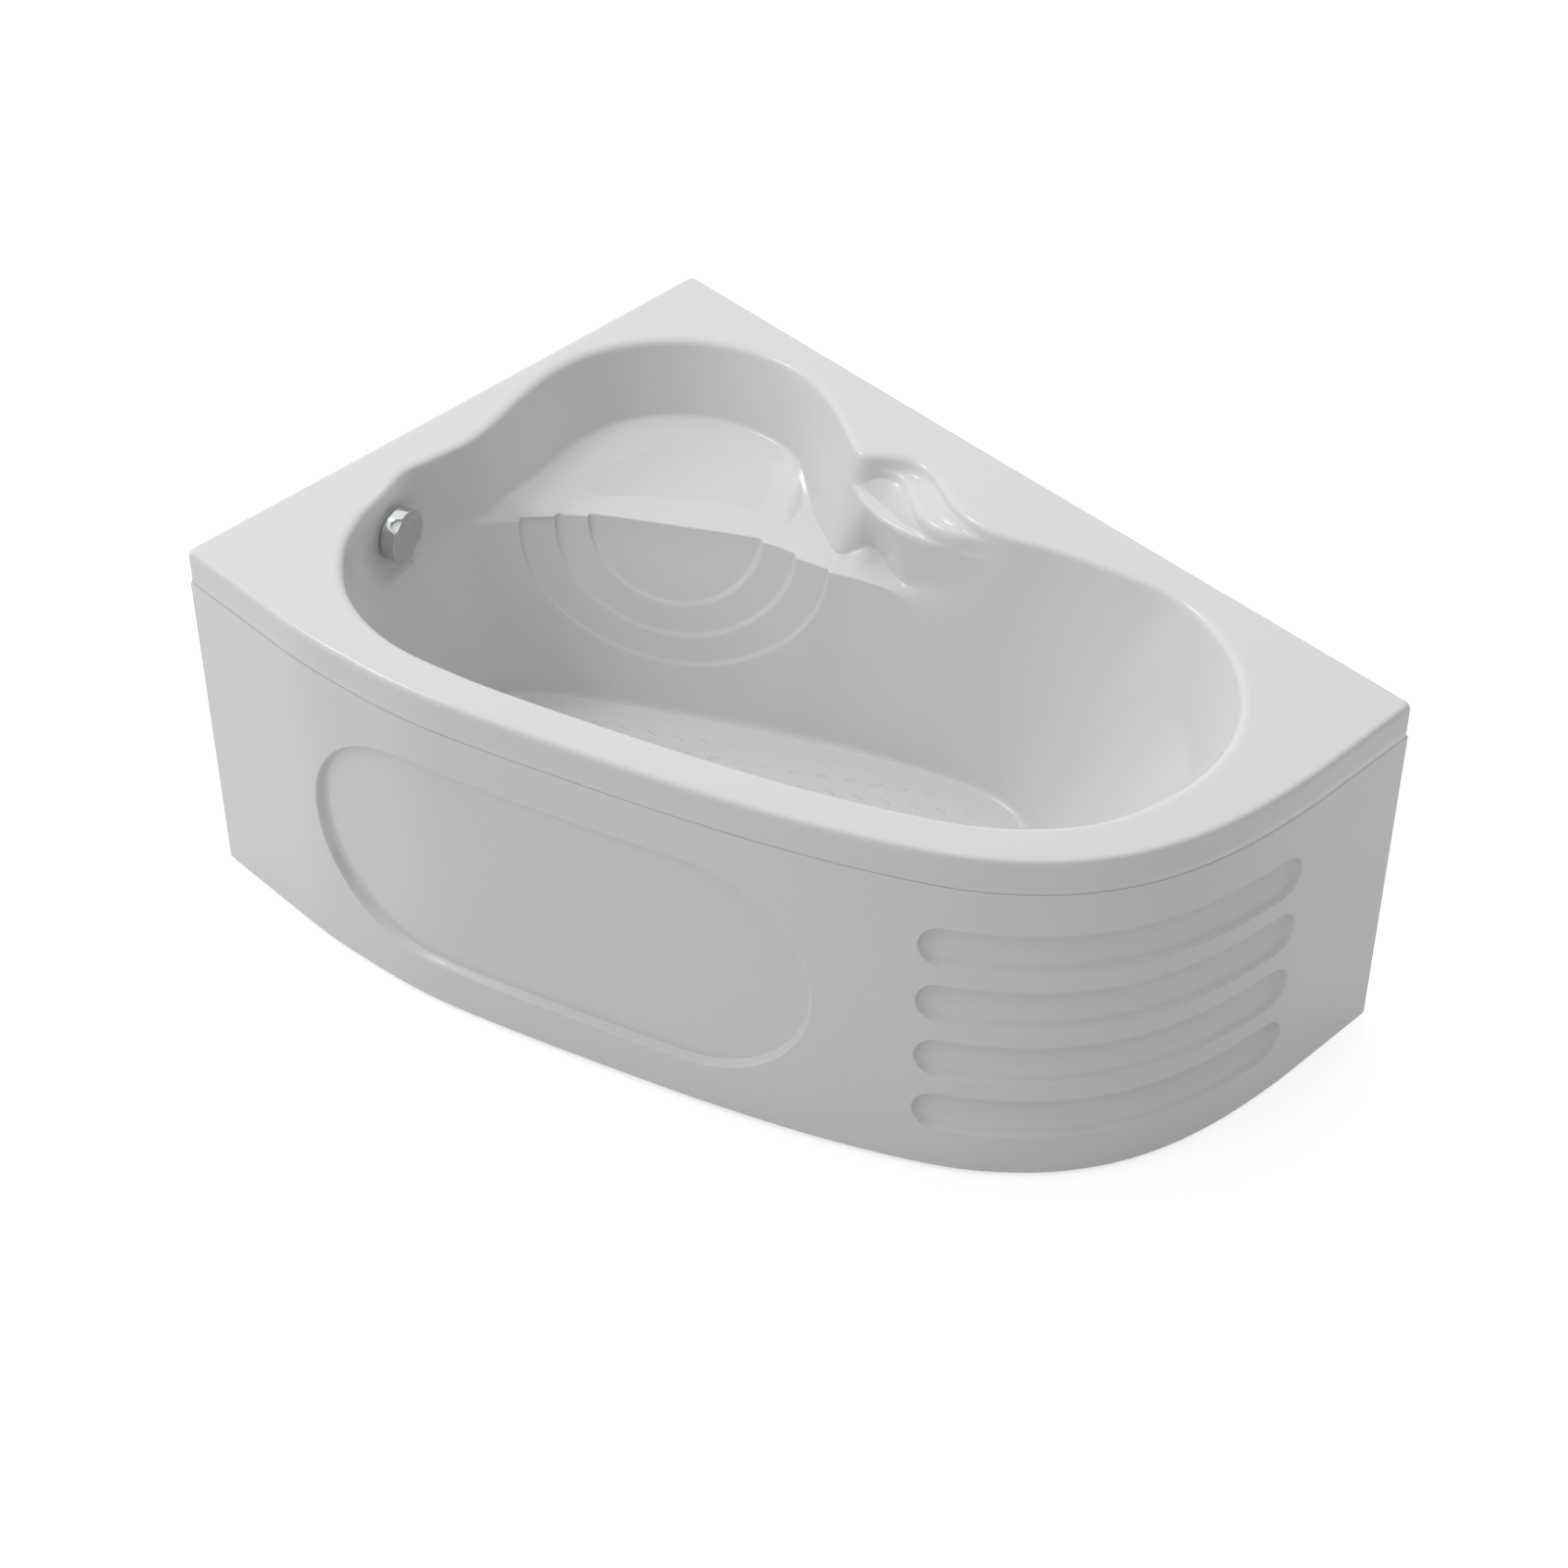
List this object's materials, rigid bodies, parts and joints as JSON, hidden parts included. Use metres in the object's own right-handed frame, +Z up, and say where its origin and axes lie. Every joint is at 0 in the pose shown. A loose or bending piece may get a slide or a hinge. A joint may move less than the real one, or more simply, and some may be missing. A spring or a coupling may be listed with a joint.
{
  "type": "bathtub",
  "caption": "Asymmetric corner bath of moulded acrylic with a corner seat, soap shelf, curved front panel, steel frame, adjustable feet, pop-up waste and turn-knob overflow.",
  "frame": {"origin": "centre of the bounding box in plan, at the underside of the feet", "axes": "+X along the back wall to the right as seen from the front, +Y towards the back wall, +Z up"},
  "size_m": [1.5, 1.037, 0.64],
  "materials": {
    "acrylic": "gloss white moulded acrylic",
    "board": "bare chipboard and pine",
    "galvanised_steel": "galvanised",
    "zinc_steel": "bright zinc plate",
    "chrome": "polished chrome plate",
    "brass": "turned",
    "rubber": "moulded, matt",
    "white_plastic": "moulded polypropylene",
    "grey_plastic": "ribbed polyethylene",
    "black_plastic": "moulded",
    "foot_plastic": "moulded nylon"
  },
  "bodies": {
    "bath": {"tub_shell": "acrylic", "base_board": "board", "seat_board": "board", "front_panel": "acrylic", "back_rail": "galvanised_steel", "left_rail": "galvanised_steel", "right_rail": "galvanised_steel", "corner_rail": "galvanised_steel", "front_rail": "galvanised_steel", "cross_rails": "galvanised_steel", "seat_rail": "galvanised_steel", "rim_posts": "galvanised_steel", "post_caps": "black_plastic", "seat_prop": "galvanised_steel", "weld_nuts": "zinc_steel", "lock_nuts": "zinc_steel", "panel_clips": "zinc_steel", "panel_brackets": "zinc_steel", "panel_blocks": "board", "panel_screws": "zinc_steel", "wall_brackets": "zinc_steel", "bracket_bolts": "zinc_steel", "waste_flange": "chrome", "waste_gasket": "rubber", "waste_body": "white_plastic", "trap_body": "white_plastic", "trap_nut": "black_plastic", "cleanout_cap": "black_plastic", "outlet_pipe": "white_plastic", "overflow_ring": "chrome", "overflow_gasket": "rubber", "overflow_body": "white_plastic", "overflow_hose": "grey_plastic", "hose_clips": "zinc_steel", "control_cable": "black_plastic"},
    "overflow_control": {"overflow_knob": "chrome", "knob_spindle": "brass", "cable_cam": "brass"},
    "plug": {"waste_plug": "chrome", "lifter_pin": "zinc_steel"},
    "foot_1": {"foot_stud_1": "zinc_steel", "foot_pad_1": "foot_plastic"},
    "foot_2": {"foot_stud_2": "zinc_steel", "foot_pad_2": "foot_plastic"},
    "foot_3": {"foot_stud_3": "zinc_steel", "foot_pad_3": "foot_plastic"},
    "foot_4": {"foot_stud_4": "zinc_steel", "foot_pad_4": "foot_plastic"},
    "foot_5": {"foot_stud_5": "zinc_steel", "foot_pad_5": "foot_plastic"}
  },
  "joints": [
    {"name": "knob_turn", "type": "hinge", "parent": "bath", "child": "overflow_control", "pos_m": [-0.642, -0.2157, 0.568], "axis": [0.9432, 0.3322, 0], "range_deg": [0, 90]},
    {"name": "plug_lift", "type": "slide", "parent": "bath", "child": "plug", "axis": [0, 0, 1], "range_m": [0, 0.01]},
    {"name": "foot_1_height", "type": "slide", "parent": "bath", "child": "foot_1", "axis": [0, 0, -1], "range_m": [0, 0.03]},
    {"name": "foot_2_height", "type": "slide", "parent": "bath", "child": "foot_2", "axis": [0, 0, -1], "range_m": [0, 0.03]},
    {"name": "foot_3_height", "type": "slide", "parent": "bath", "child": "foot_3", "axis": [0, 0, -1], "range_m": [0, 0.03]},
    {"name": "foot_4_height", "type": "slide", "parent": "bath", "child": "foot_4", "axis": [0, 0, -1], "range_m": [0, 0.03]},
    {"name": "foot_5_height", "type": "slide", "parent": "bath", "child": "foot_5", "axis": [0, 0, -1], "range_m": [0, 0.03]}
  ],
  "couplings": [
    {"joint": "plug_lift", "follows": "knob_turn", "m_per_rad": 0.0063662}
  ]
}
